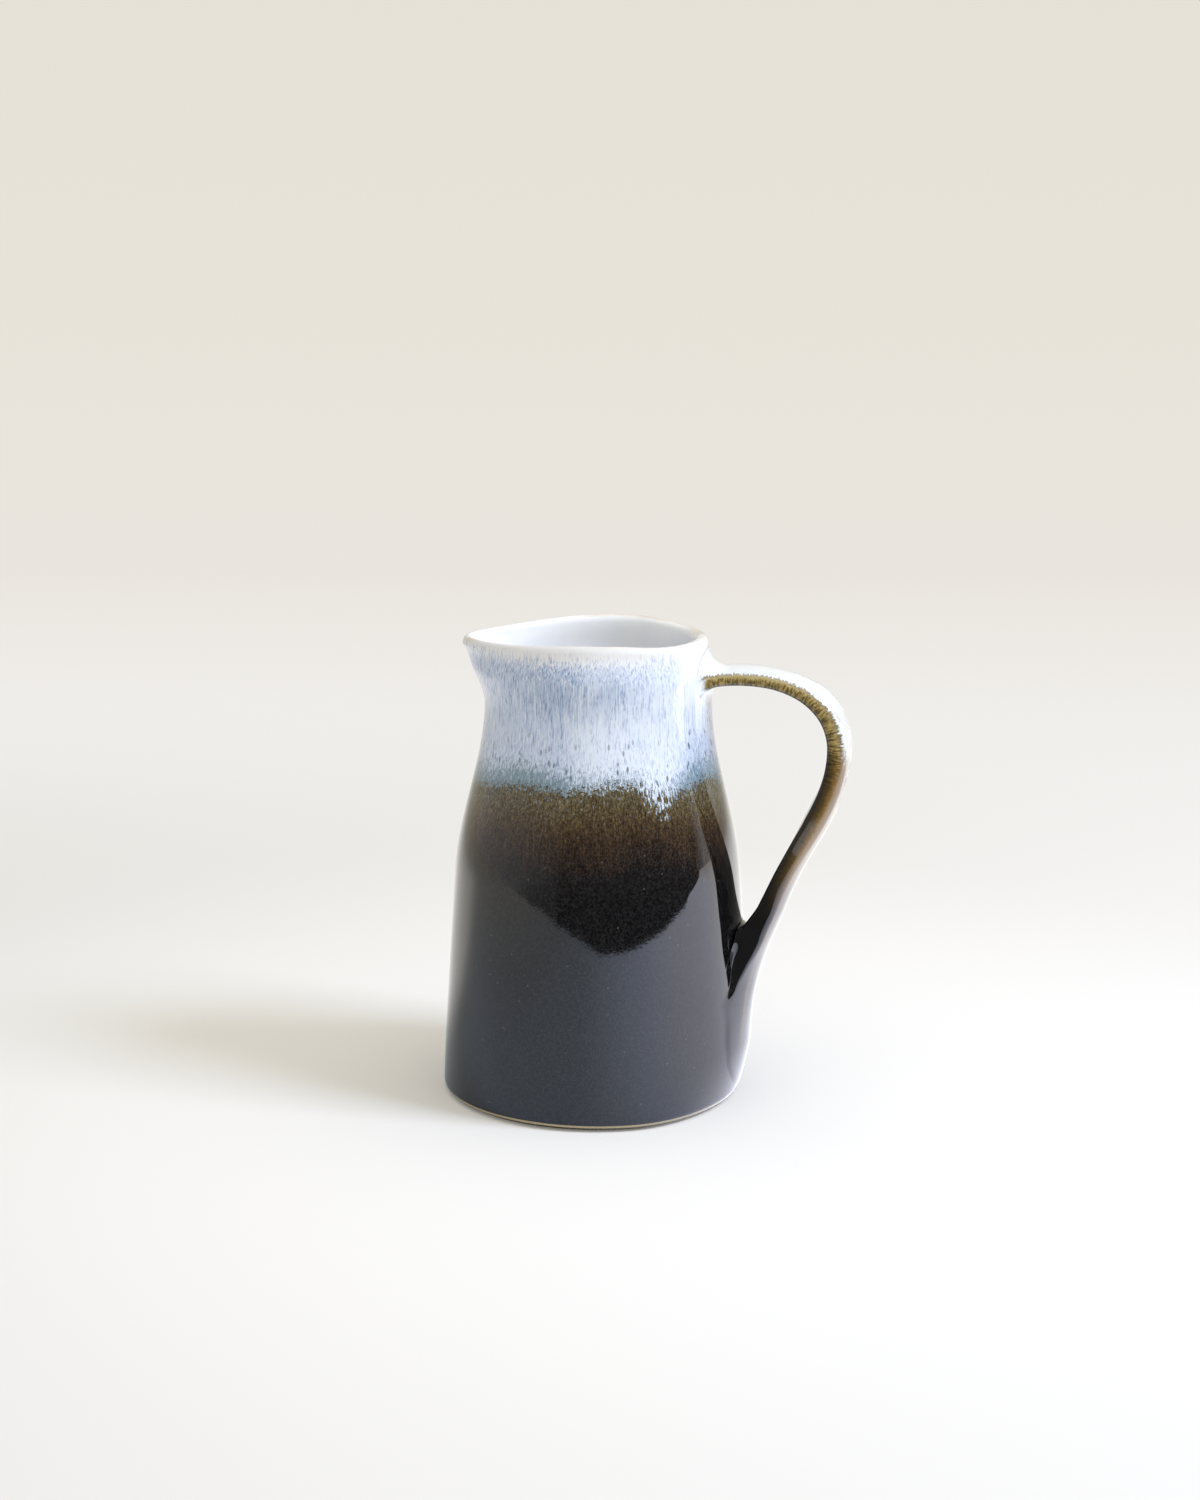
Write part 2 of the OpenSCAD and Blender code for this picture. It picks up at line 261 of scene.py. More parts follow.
def wall_radius(z):
    z = np.asarray(z, float)
    drop = np.clip(HEEL_R - z, 0, HEEL_R)
    heel = FOOT_OUT + np.sqrt((HEEL_R + GLAZE) ** 2 - drop**2)
    return np.where(z < HEEL_R, heel, clay_radius(z) + GLAZE - DRAW_ROOT * ramp(z, RIM_Z - DRAW_H, RIM_Z))


def bezier(a, b, c, d, count):
    t = np.linspace(0, 1, count)[:, None]
    a, b, c, d = (np.array(x, float) for x in (a, b, c, d))
    return (1 - t) ** 3 * a + 3 * (1 - t) ** 2 * t * b + 3 * (1 - t) * t**2 * c + t**3 * d


def read(pairs, at):
    return np.interp(at, *zip(*pairs))


def even_out(row, rounds):
    for _ in range(rounds):
        row[1:-1] = (row[:-2] + 2 * row[1:-1] + row[2:]) / 4


x_top, x_tail = float(wall_radius(TOP_Z)), float(wall_radius(TAIL_Z))
bend_at = (HANDLE_REACH, BEND_Z)
top_curve = bezier((x_top, TOP_Z), ((x_top + HANDLE_REACH) / 2, TOP_Z + RISE),
                   (HANDLE_REACH, BEND_Z + CROWN_PULL), bend_at, ABOVE)
low_curve = bezier(bend_at, (HANDLE_REACH, BEND_Z - BEND_PULL), (x_tail, TAIL_Z + TAIL_PULL), (x_tail, TAIL_Z), BELOW)
line = np.vstack([top_curve, low_curve[1:]])
line[ABOVE:, 0] -= read([(36, 2.2), (46, 1.3), (58, 0)], line[ABOVE:, 1])
inward = (line[0] - line[1]) / np.linalg.norm(line[0] - line[1])
line = np.vstack([line[0] + BURIED * inward, line])
run = np.concatenate([[0], np.cumsum(np.linalg.norm(np.diff(line, axis=0), axis=1))])
LENGTH = run[-1]
station = np.linspace(0, LENGTH, STATIONS)
line = np.stack([np.interp(station, run, line[:, i]) for i in (0, 1)], 1)
even_out(line, 30)
along = np.gradient(line, station, axis=0)
along /= np.linalg.norm(along, axis=1)[:, None]
print("strap's middle line is", round(LENGTH, 1), "mm long")

# %% [markdown]
# ## The strap's section
# The strap is thin at the neck, thickest below the bend, and fills the corner under its lower end. Each of these
# is a row of widths along the middle line, given at a few places and evened out. A bevel object on a curve could
# carry one section only.

# %% Widths along the strap
STRAP_W, STRAP_T, HOLLOW = 20.0, 6.6, 0.3
FLARE, FLARE_RUN = 1.0, 6
line_x, line_z = line.T
upper = np.arange(STATIONS) < int(np.argmax(line_x))
half_thick = np.where(upper, read([(34, 2.15), (54, 2.12), (62, 2.5), (HANDLE_REACH, 3.5)], line_x),
                      read([(60, 3.3), (70, 3.35), (85, 3.9), (BEND_Z, 3.5)], line_z))
corner_fill = read([(40, 8), (46, 4.7), (50, 2.4), (54, 1.1), (58, 0.3), (63, 0)], line_z)
half_inside = half_thick + np.where(upper, 0, corner_fill)
crown = np.where(upper, read([(34, 0.7), (HANDLE_REACH, 1.0)], line_x),
                 read([(66, 2.8), (85, 2.0), (BEND_Z, 1.0)], line_z))
half_wide = np.where(upper, STRAP_W / 2 + FLARE * np.clip(1 - (station - BURIED) / FLARE_RUN, 0, 1) ** 2,
                     read([(25, 17), (38, 15), (50, 12.6), (62, 11), (76, 10.2), (92, STRAP_W / 2)], line_z))
for row in (half_thick, half_inside, crown, half_wide):
    even_out(row, 200)
print("strap's thickness from, to, mm:", (2 * half_thick.min()).round(1), (2 * half_thick.max()).round(1))

# %% [markdown]
# ## Distances to the wall and to the strap
# Wet clay is smoothed over a joint with a thumb. The soft smaller of two distances does the same: where both are
# small it rounds the corner between them. A Boolean with a bevel could join the two as well, but it breaks at a
# joint that fades out to nothing.

# %% Helpers for the two distances
LIFT = 0.004
TWIST = [(44, 1.7), (56, 1.6), (70, 1.0), (85, 0)]
INNER_EDGE, OUTER_EDGE = 1.1, 1.4
wall_z = np.linspace(-5, 145, 1200)
wall_r = wall_radius(np.clip(wall_z, 0, None))


def soft_min(a, b, k):
    h = np.clip(k - np.abs(a - b), 0, None) / k
    return np.minimum(a, b) - h * h * k / 4


def wall_gap(p):
    return np.hypot(p[:, 0], p[:, 1]) - np.interp(p[:, 2], wall_z, wall_r) - LIFT


def strap_at(s):
    return ([np.interp(s, station, line[:, i]) for i in (0, 1)],
            [np.interp(s, station, along[:, i]) for i in (0, 1)])


def strap_place(p, s):
    for _ in range(3):
        here, ahead = strap_at(s)
        s = np.clip(s + (p[:, 0] - here[0]) * ahead[0] + (p[:, 2] - here[1]) * ahead[1], 0, LENGTH)
    here, ahead = strap_at(s)
    dx, dz = p[:, 0] - here[0], p[:, 2] - here[1]
    return s, -dx * ahead[1] + dz * ahead[0], dx * ahead[0] + dz * ahead[1]


def strap_gap(p, s):
    s, out, past = strap_place(p, s)
    half, under, wide, arch = (np.interp(s, station, row) for row in (half_thick, half_inside, half_wide, crown))
    across = np.abs(p[:, 1])
    bow = (across / wide) ** 2
    twist = read(TWIST, p[:, 2]) * p[:, 1] / wide
    inside = soft_min(wide - across, under - HOLLOW * bow - twist + out, INNER_EDGE)
    gap = -soft_min(inside, half - arch * bow - out, OUTER_EDGE)
    return s, np.where(np.abs(past) > 1e-6, np.hypot(np.clip(gap, 0, None), past), gap), out / half


print("wall's radius at the strap's root and tail, mm:", round(x_top, 1), round(x_tail, 1))

# %% [markdown]
# ## The tail
# The strap's lower end is wiped out into a tail that stands less and less proud of the side. Its height in the
# middle and at its corners, its flanks and its crease are small tables by height, because a potter's thumb leaves
# no plain curve.

# %% Helpers for the tail and the blend
TAIL_CORNER, TAIL_EDGE = 13.0, 0.5
proud_z = np.linspace(2, 60, 117)
proud_by = read([(2.4, 0.0), (6.0, 0.25), (12.4, 0.6), (22.7, 1.45), (30.6, 2.6), (38.3, 4.7), (46.0, 7.7),
                 (60, 13)], proud_z)
corner_by = read([(2.4, 0.0), (12, 0.3), (20, 0.8), (28, 1.1), (33, 1.3), (36, 1.7), (41, 3.8), (46, 5.9),
                  (52, 8.6), (60, 12)], proud_z)
even_out(proud_by, 40)
even_out(corner_by, 12)
FLANK = [(3, 9), (7, 14), (14, 18.0), (20, 18.6), (30, 17.2), (34, 15.8), (38, 14.8), (42, 14.0), (46, 13.4),
         (52, 12.6)]
STEEP = [(3, 0.2), (20, 0.45), (28, 0.5), (33, 0.55), (35.5, 1.1), (38, 3.2), (41, 6.5), (52, 7.0)]
CREASE = [(4, 0.8), (18, 0.6), (28, 1.4), (35, 3.4), (41, 2.4), (46, 1.4), (50, 2.2)]
LOWER_FILLET = [(40, 5), (50, 3)]


def tail_gap(p, wall):
    across, z = np.abs(p[:, 1]), p[:, 2]
    middle, corner = (np.interp(z, proud_z, row) for row in (proud_by, corner_by))
    top = middle + (corner - middle) * (across / TAIL_CORNER) ** 2
    return -soft_min((read(FLANK, z) - across) * read(STEEP, z), top - wall, TAIL_EDGE)


def blend(p, s):
    s, strap, share = strap_gap(p, s)
    wall, z = wall_gap(p), p[:, 2]
    high = 2.6 + 3.6 * ramp(share, 0.2, 1.2) + 1.6 * ramp(-share, 0.2, 1.2)
    low = read(LOWER_FILLET, z)
    fillet = low + (high - low) * ramp(z, 85, 105)
    smooth = ramp(z, 51, 42)
    by_tail = soft_min(wall, tail_gap(p, wall), read(CREASE, z))
    return (1 - smooth) * soft_min(wall, strap, fillet) + smooth * by_tail, s


print("the tail stands proud by, 20 and 40 mm up:", np.interp([20, 40], proud_z, proud_by).round(1))

# %% [markdown]
# ## Rings of the tube
# The tube starts as rings: some fan out from a loop on the neck, most follow the strap, and the last ones fan out
# to a loop on the side of the jug. The loops lie outside the joints, so the blend has room to fade out.

# %% Lay out the rings
ROUND, ROOT, FREE, TAIL = 136, 14, 110, 52
ROOT_SIDE, ROOT_UP, ROOT_RUN = STRAP_W / 2 + 4.2, 8.6, 9.0
TAIL_MID, TAIL_UP, TAIL_DOWN, TAIL_SIDE, TAIL_FROM = 26.0, 28.0, 23.6, 22.0, 66
turn = np.linspace(0, 2 * np.pi, ROUND, endpoint=False)
cos_t, sin_t = np.cos(turn), np.sin(turn)


def on_wall(y, z):
    return np.stack([np.sqrt(wall_radius(z) ** 2 - y**2), y, z], 1)


def strap_ring(s):
    here, ahead = strap_at(s)
    y, n = STRAP_W / 2 * cos_t, STRAP_T / 2 * sin_t
    return np.stack([here[0] - n * ahead[1], y, here[1] + n * ahead[0]], 1)


root_loop = on_wall(ROOT_SIDE * cos_t, TOP_Z + ROOT_UP * sin_t)
tail_loop = on_wall(TAIL_SIDE * cos_t, TAIL_MID - np.where(sin_t > 0, TAIL_DOWN, TAIL_UP) * sin_t)
half_way = STATIONS // 2
s_root = BURIED + ROOT_RUN
s_tail = float(np.interp(-TAIL_FROM, -line[half_way:, 1], station[half_way:]))
root_share, tail_share = np.arange(ROOT) / ROOT, np.arange(1, TAIL + 1) / TAIL
free = np.linspace(s_root, s_tail, FREE)
grid = np.array([(1 - u) * root_loop + u * strap_ring(s_root) for u in root_share]
                + [strap_ring(s) for s in free]
                + [(1 - u) * strap_ring(s_tail) + u * tail_loop for u in tail_share])
place = np.repeat([*(BURIED + root_share * (s_root - BURIED)), *free, *[s_tail] * TAIL], ROUND)
print("the tube has", len(grid), "rings of", ROUND)

# %% [markdown]
# ## Settling the tube
# Each round evens out the net and then moves every vertex down the slope of the blend until it lies on it, much as
# a Smooth and a Shrinkwrap modifier would by turns. The end loops are sunk a hair into the glaze, so that no rim
# of the tube shows.

# %% Settle the rings
PROBE, LONGEST_MOVE, FLATTEST = 0.02, 2, 0.05
FIND_ROUNDS, ROUNDS, LAST_ROUNDS, EVENING = 30, 140, 4, 0.6
SUNK = [(0, 2), (1, 1), (-1, 2), (-2, 1.5), (-3, 1)]


def settle(p, s, rounds=1):
    for _ in range(rounds):
        value, s = blend(p, s)
        slope = np.stack([(blend(p + step, s)[0] - blend(p - step, s)[0]) / (2 * PROBE)
                          for step in np.eye(3) * PROBE], 1)
        size = np.clip((slope**2).sum(1), FLATTEST, None)
        p = p - np.clip(value / size, -LONGEST_MOVE, LONGEST_MOVE)[:, None] * slope
    return p, s


for _ in range(FIND_ROUNDS):
    place = strap_place(grid.reshape(-1, 3), place)[0]
for _ in range(ROUNDS):
    around = (np.roll(grid, 1, 1) + np.roll(grid, -1, 1))[1:-1] + grid[:-2] + grid[2:]
    grid[1:-1] += EVENING * (around / 4 - grid[1:-1])
    moved, place = settle(grid.reshape(-1, 3), place)
    grid[1:-1] = moved.reshape(grid.shape)[1:-1]
moved, place = settle(grid.reshape(-1, 3), place, LAST_ROUNDS)
grid[1:-1] = moved.reshape(grid.shape)[1:-1]
for loop, sunk in SUNK:
    grid[loop][:, :2] *= (1 - LIFT * sunk / np.hypot(grid[loop][:, 0], grid[loop][:, 1]))[:, None]
print("mean distance left to the blend, mm:", np.abs(blend(grid.reshape(-1, 3), place)[0]).mean().round(4))

# %% [markdown]
# ## The strap's mesh
# A circle is extruded upwards once for each ring, which gives clean quads all the way. Its vertices are then sorted
# by height and angle and moved to the settled places. The two open ends lie inside the joints and are filled.

# %% Extrude the tube and close it
bpy.ops.object.select_all(action="DESELECT")
bpy.ops.mesh.primitive_circle_add(vertices=ROUND, radius=STRAP_W / 2 * MM, fill_type="NOTHING")
handle = bpy.context.object
handle.name = handle.data.name = "strap_handle"
bpy.ops.object.mode_set(mode="EDIT")
bpy.ops.mesh.select_all(action="SELECT")
for _ in range(len(grid) - 1):
    bpy.ops.mesh.extrude_region_move(TRANSFORM_OT_translate={"value": (0, 0, MM)})
bpy.ops.object.mode_set(mode="OBJECT")
start = points_of(handle)
start_turn = np.round(np.arctan2(start[:, 1], start[:, 0]) % (2 * np.pi), 4)
order = np.lexsort((start_turn, np.round(start[:, 2], 3)))
target, strap_s = np.empty_like(start), np.empty(len(start))
target[order] = grid.reshape(-1, 3)
strap_s[order] = place
set_points(handle, target)
bpy.ops.object.shade_smooth()
bpy.ops.object.mode_set(mode="EDIT")
bpy.ops.mesh.select_all(action="DESELECT")
bpy.ops.mesh.select_non_manifold()
bpy.ops.mesh.mark_sharp()
bpy.ops.mesh.fill()
bpy.ops.mesh.faces_shade_flat()
bpy.ops.mesh.select_all(action="SELECT")
bpy.ops.mesh.normals_make_consistent(inside=False)
bpy.ops.object.mode_set(mode="OBJECT")
print("strap:", len(handle.data.vertices), "vertices, box", target.min(0).round(1), target.max(0).round(1))

# %% [markdown]
# ## Where the glazes lie
# The two dips don't stop at one level: the jug was tilted, so the pale line is higher in front, and one run has
# gone further down. A painted picture could show this. Here each outer piece carries the distance to that line, in
# mm, as an attribute called dip. Where glaze thins on an edge, an attribute called edge says how much. The handle
# is turned a little towards the camera, so points are turned back to find the side that it faces.

# %% Paint the dip line and the thin edges
TURN = math.radians(8)
DIP_Z, DIP_TILT = 93.3, 0.17
RIM_WIDTH, LINER_RIM_WIDTH = 0.55, 0.45


def facing(p):
    return (math.cos(TURN) * p[:, 0] + math.sin(TURN) * p[:, 1],
            math.cos(TURN) * p[:, 1] - math.sin(TURN) * p[:, 0])


def dip_line(p):
    x, y = facing(p)
    azimuth = np.degrees(np.arctan2(x, -y))
    wave = 0.8 * np.sin(np.radians(azimuth * 3 + 40)) + 0.5 * np.sin(np.radians(azimuth * 7))
    level = DIP_Z - DIP_TILT * y + wave + 3.2 * ramp(azimuth, 40, 62) + 1.6 * ramp(-azimuth, 15, 45)
    return p[:, 2] - level, azimuth


def rim_share(p, width):
    x, y = facing(p)
    crest = read([(-40, JUG_H - LIP_FALL), (0, JUG_H), (8, JUG_H), (28, JUG_H - ROOT_FALL)], p[:, 0])
    front = 0.15 + 0.75 * ramp(x, -33, -39) + 0.25 * ramp(x, -8, 4) * ramp(x, 24, 12)
    behind = 0.10 + 0.75 * ramp(x, -10, 0)
    return np.where(y < 0, front, behind) * np.exp(-(((crest - p[:, 2]) / width) ** 2))


def bell(value, middle, width):
    return np.exp(-(((value - middle) / width) ** 2))


def paint(piece, name, values):
    layer = piece.data.attributes.new(name, "FLOAT", "POINT")
    layer.data.foreach_set("value", np.asarray(values, np.float32))


p = points_of(outer)
dip, azimuth = dip_line(p)
paint(outer, "dip", dip)
paint(outer, "run", 9.5 * bell(azimuth, 30, 6) + 4 * bell(azimuth, 22, 3))
foot_share = ramp(p[:, 2], 1.25, 1.4) * ramp(p[:, 2], 2.1, 1.95)
paint(outer, "edge", rim_share(p, RIM_WIDTH) + foot_share)
paint(liner, "edge", rim_share(points_of(liner), LINER_RIM_WIDTH))
print("the dip line lies at", (p[:, 2] - dip).min().round(1), "to", (p[:, 2] - dip).max().round(1), "mm")

# %% [markdown]
# ## Ways round the strap
# On the strap the glaze follows the clay's edges, so it needs more than a height. The attribute along is the way
# along the strap in mm, lay is the angle round it, near is 1 on the camera's side, and off is the distance to the
# wall. A UV map could hold two of these, but attributes can have names.

# %% Paint the strap
LOWER_HALF_THICK = 3.4
p = points_of(handle)
out = strap_place(p, strap_s)[1]
half = np.interp(strap_s, station, np.where(upper, half_thick, LOWER_HALF_THICK))
wide = np.interp(strap_s, station, half_wide)
lay = np.degrees(np.arctan2(out / half, np.clip(np.abs(p[:, 1]) / wide, 0.02, None)))
paint(handle, "dip", dip_line(p)[0])
paint(handle, "along", strap_s)
paint(handle, "near", ramp(p[:, 1], 4, -4))
paint(handle, "run", np.zeros(len(p)))
paint(handle, "lay", lay)
paint(handle, "off", np.hypot(p[:, 0], p[:, 1]) - wall_radius(p[:, 2]))
print("angle round the strap from, to:", lay.min().round(), lay.max().round())

# %% [markdown]
# ## The foot
# The foot was trimmed a little off the round: on the handle's side the wall turns in near the bottom. All pieces
# get the same shift after they are painted, so the coats stay on the clay and the paint on the coats.

# %% Turn the wall in at the foot
FOOT_IN_BY, FOOT_TURN_Z, FOOT_POWER = 3.8, 17.5, 1.5
for piece in (body, outer, liner, base, handle):
    p = points_of(piece)
    radius = np.clip(np.hypot(p[:, 0], p[:, 1]), 1, None)
    share = np.clip(1 - p[:, 2] / FOOT_TURN_Z, 0, 1) ** FOOT_POWER
    share = share * ramp(facing(p)[0] / radius, 0.2, 0.95) * ramp(radius, 25, 40)
    p[:, :2] *= (1 - FOOT_IN_BY * share / radius)[:, None]
    set_points(piece, p)
p = points_of(body)
print("foot's reach towards the handle, mm:", p[p[:, 2] < HEEL_R, 0].max().round(1))

# %% [markdown]
# ## Finishes
# Each finish is a small set of nodes on Object coordinates, in millimetres, so the grain has its real size.
# Nodes can be wired by hand in the shader editor. A helper that adds a node, feeds it and hands back its socket
# keeps long chains short.

# %% Helpers for nodes
def is_socket(value):
    return isinstance(value, bpy.types.NodeSocket)


class Nodes:
    def __init__(self, tree):
        self.tree = tree

    def feed(self, socket, value):
        if is_socket(value):
            self.tree.links.new(value, socket)
        else:
            socket.default_value = value

    def add(self, kind, feeds, out=0, **settings):
        made = self.tree.nodes.new(kind)
        for key, value in settings.items():
            setattr(made, key, value)
        for key, value in feeds.items():
            self.feed(made.inputs[key], value)
        return made.outputs[out]

    def vector(self, operation, a, b=None, scale=None, out=0):
        feeds = {key: value for key, value in ((0, a), (1, b), ("Scale", scale)) if value is not None}
        return self.add("ShaderNodeVectorMath", feeds, out, operation=operation)

    def sum(self, operation, a, b=0.0):
        return self.add("ShaderNodeMath", {0: a, 1: b}, operation=operation)

    def plus(self, first, *rest):
        for value in rest:
            first = self.sum("ADD", first, value)
        return first

    def minus(self, a, b):
        return self.sum("SUBTRACT", a, b)

    def times(self, first, *rest):
        for value in rest:
            first = self.sum("MULTIPLY", first, value)
        return first

    def about(self, noise, size):
        return self.times(self.minus(noise, 0.5), size)

    def between(self, value, low, high, to_low=0.0, to_high=1.0):
        feeds = {"Value": value, "From Min": low, "From Max": high, "To Min": to_low, "To Max": to_high}
        return self.add("ShaderNodeMapRange", feeds, interpolation_type="SMOOTHSTEP")

    def mix(self, share, a, b):
        a, b = (colour if is_socket(colour) else (*colour, 1) for colour in (a, b))
        return self.add("ShaderNodeMix", {"Factor": share, 6: a, 7: b}, 2, data_type="RGBA")

    def shades(self, value, low, high, stops):
        spread = self.add("ShaderNodeMapRange", {"Value": value, "From Min": low, "From Max": high})
        made = self.add("ShaderNodeValToRGB", {"Fac": spread}, "Color")
        band = made.node.color_ramp
        while len(band.elements) < len(stops):
            band.elements.new(0.5)
        for element, (at, colour) in zip(band.elements, stops):
            element.position = (at - low) / (high - low)
            element.color = (*colour, 1)
        return made

    def axes(self, vector, names):
        return [self.add("ShaderNodeSeparateXYZ", {0: vector}, name) for name in names]

    def rays(self, *kinds):
        return [self.add("ShaderNodeLightPath", {}, kind) for kind in kinds]

    def turned_back(self, vector):
        return self.add("ShaderNodeVectorRotate", {"Vector": vector, "Angle": -TURN}, rotation_type="Z_AXIS")


class Finish(Nodes):
    def __init__(self, name):
        self.material = bpy.data.materials.new(name)
        self.material.use_nodes = True
        super().__init__(self.material.node_tree)
        self.shader = self.tree.nodes["Principled BSDF"]
        self.place = self.vector("SCALE", self.add("ShaderNodeTexCoord", {}, "Object"), scale=1 / MM)

    def noise(self, stretch, scale, detail=2.0, roughness=0.5):
        spot = self.vector("MULTIPLY", self.place, stretch)
        feeds = {"Vector": spot, "Scale": scale, "Detail": detail, "Roughness": roughness}
        return self.add("ShaderNodeTexNoise", feeds, "Fac")

    def cells(self, stretch, scale):
        spot = self.vector("MULTIPLY", self.place, stretch)
        middle = self.add("ShaderNodeTexVoronoi", {"Vector": spot, "Scale": scale}, "Distance")
        return middle, self.add("ShaderNodeSeparateColor", {0: middle.node.outputs["Color"]})

    def carried(self, name):
        return self.add("ShaderNodeAttribute", {}, "Fac", attribute_name=name)

    def set(self, **sockets):
        for key, value in sockets.items():
            self.feed(self.shader.inputs[key.replace("_", " ")], value)

    def bump(self, height, depth):
        self.set(Normal=self.add("ShaderNodeBump", {"Height": height, "Strength": 1.0, "Distance": depth}, "Normal"))

    def report(self):
        print(self.material.name, "has", len(self.tree.nodes), "nodes")


print("one unit of grain is", MM, "m")

# %% [markdown]
# ## Grain of the outer glazes
# A reactive glaze is never one colour: it has specks, streaks and threads that run down the side as it melts. Each
# is a noise of its own size, stretched upright where it runs. One half of the jug got a second dip, so thick is 1
# there, and right is 1 next to the handle, where the coat is thin. The line between the two glazes is ragged.

# %% Noises of the glaze
def grained(name):
    g = Finish(name)
    g.dip, g.run = g.carried("dip"), g.carried("run")
    g.grain = g.noise((1, 1, 1), 2.2, 2.0, 0.6)
    g.speck = g.noise((1, 1, 0.7), 1.3, 2.0)
    g.streak = g.noise((1, 1, 0.09), 1.9, 3.0, 0.65)
    g.fine = g.noise((1, 1, 0.2), 2.8, 2.0, 0.6)
    g.thread = g.noise((1, 1, 0.075), 2.3, 2.0, 0.6)
    g.rivulet = g.noise((1, 1, 0.03), 1.1, 2.0, 0.6)
    g.film = g.noise((1, 1, 0.8), 1.7, 3.0, 0.7)
    g.cloud = g.noise((1, 1, 0.45), 0.09, 2.0)
    g.x = g.vector("DOT_PRODUCT", g.place, (math.cos(TURN), math.sin(TURN), 0), out="Value")
    g.z = g.axes(g.place, "Z")[0]
    right = g.plus(g.x, g.about(g.speck, 10.0))
    g.right = g.between(g.minus(right, g.between(g.z, 100.0, 128.0, 0.0, 10.0)), 19.0, 29.0)
    thick = g.between(g.plus(g.x, g.about(g.cloud, 12.0)), -12.0, -1.0)
    g.thick = g.times(thick, g.minus(1.0, g.right))
    torn = g.plus(g.about(g.speck, 7.0), g.about(g.streak, 5.0))
    torn = g.plus(g.dip, g.about(g.grain, 9.0), torn)
    g.ragged = g.plus(torn, g.times(g.run, g.between(g.streak, 0.40, 0.62)))
    g.brushed = g.plus(g.z, g.about(g.thread, 11.0))
    g.under_rim = g.times(g.between(g.z, 114.0, 127.0), g.between(g.brushed, 138.0, 130.5))
    return g


def gloss(g, colour):
    g.set(Base_Color=colour, Roughness=g.between(g.grain, 0.2, 0.8, 0.02, 0.05), IOR=1.6)
    g.bump(g.noise((1, 1, 1), 1.0, 2.0), 3e-6)
    g.report()


g = grained("reactive_glaze")
g.report()

# %% [markdown]
# ## The dark glaze
# Under the pale line the glaze is olive and speckled, then brown, and then near black where it is thick. A colour
# ramp on the distance to the line gives the bands, and the noises break them up. A dust of fine dull spots takes
# the blackness off, as tiny bubbles in real glaze do.

# %% Colour of the dark glaze
DUST, DOT, SKY = (0.0130, 0.0130, 0.0145), (0.35, 0.36, 0.38), (0.30, 0.38, 0.44)
SALT, PEPPER = (0.19, 0.165, 0.095), (0.025, 0.02, 0.012)
DARK_BANDS = [(-36, (0.0005, 0.0005, 0.0008)), (-26, (0.003, 0.002, 0.0015)), (-19, (0.018, 0.010, 0.0055)),
              (-14, (0.034, 0.019, 0.008)), (-9, (0.060, 0.038, 0.015)), (-5, (0.085, 0.064, 0.029)),
              (0, (0.105, 0.088, 0.050))]


def dark_coat(g):
    runny = g.plus(g.dip, g.plus(g.about(g.rivulet, 16.0), g.about(g.cloud, 10.0)))
    dark = g.shades(runny, -36.0, 0.0, DARK_BANDS)
    olive_zone = g.between(g.dip, -16.0, -5.0)
    dark = g.mix(g.times(g.between(g.grain, 0.50, 0.72), olive_zone, 0.5), dark, SALT)
    dark = g.mix(g.times(g.between(g.grain, 0.46, 0.30), olive_zone, 0.6), dark, PEPPER)
    dark = g.vector("SCALE", dark, scale=g.between(g.film, 0.30, 0.70, 0.60, 1.40))
    dark = g.vector("SCALE", dark, scale=g.between(g.thread, 0.36, 0.64, 0.60, 1.40))
    dark = g.vector("ADD", dark, g.vector("SCALE", DUST, scale=g.between(g.film, 0.42, 0.62)))
    dot, chance = g.cells((1, 1, 1), 0.42)
    dots = g.times(g.between(dot, 0.15, 0.08), g.between(chance, 0.80, 0.86))
    dark = g.mix(g.times(dots, 0.15), dark, DOT)
    sky = g.times(g.between(g.speck, 0.60, 0.68), g.between(g.dip, -11.0, -1.0))
    return g.mix(g.times(sky, 0.45), dark, SKY)


dark = dark_coat(g)
g.report()

# %% [markdown]
# ## The pale glaze
# Above the line the pale glaze breaks into fine blue streaks that run down the side. It is whiter where it got the
# second dip, and bluer under the rim and beside the handle, where it drained away.

# %% Blue streaks
BLUE, WHITER, SHADED, THIN = (0.55, 0.63, 0.83), (0.71, 0.78, 0.93), (0.30, 0.38, 0.54), (0.35, 0.45, 0.62)
LINE, DRAWN, WHITE_RUN = (0.25, 0.34, 0.52), (0.15, 0.24, 0.42), (0.80, 0.85, 0.93)


def blue_streaks(g):
    blue = g.mix(g.thick, BLUE, WHITER)
    shade = g.times(g.between(g.x, -30.0, -16.0), g.between(g.x, 22.0, 0.0, 0.0, 0.46))
    shade = g.times(g.under_rim, shade, g.between(g.cloud, 0.3, 0.6, 0.7, 1.2))
    blue = g.mix(shade, blue, SHADED)
    blue = g.mix(g.times(g.right, 0.35), blue, THIN)
    lines = g.between(g.plus(g.times(g.streak, 0.5), g.times(g.fine, 0.5)), 0.51, 0.37)
    by_rim = g.times(g.under_rim, g.between(g.x, 22.0, 2.0, 0.3, 0.62))
    weight = g.plus(g.between(g.thick, 0.0, 1.0, 0.55, 0.28), by_rim, g.times(g.right, 0.22))
    pale = g.mix(g.times(lines, weight), blue, LINE)
    drawn = g.times(g.between(g.thread, 0.43, 0.36), g.between(g.thick, 0.0, 1.0, 0.62, 0.34))
    pale = g.mix(drawn, pale, DRAWN)
    return g.mix(g.times(g.between(g.thread, 0.55, 0.64), 0.5), pale, WHITE_RUN)


pale = blue_streaks(g)
g.report()

# %% [markdown]
# ## Flecks, and the line between the glazes
# Where the pale coat thins towards the line, dark flecks and a teal tint come through. On the rim and round the
# strap's root it is nearly white. The rim's crest and the bead at the foot are cream, because glaze draws off them.

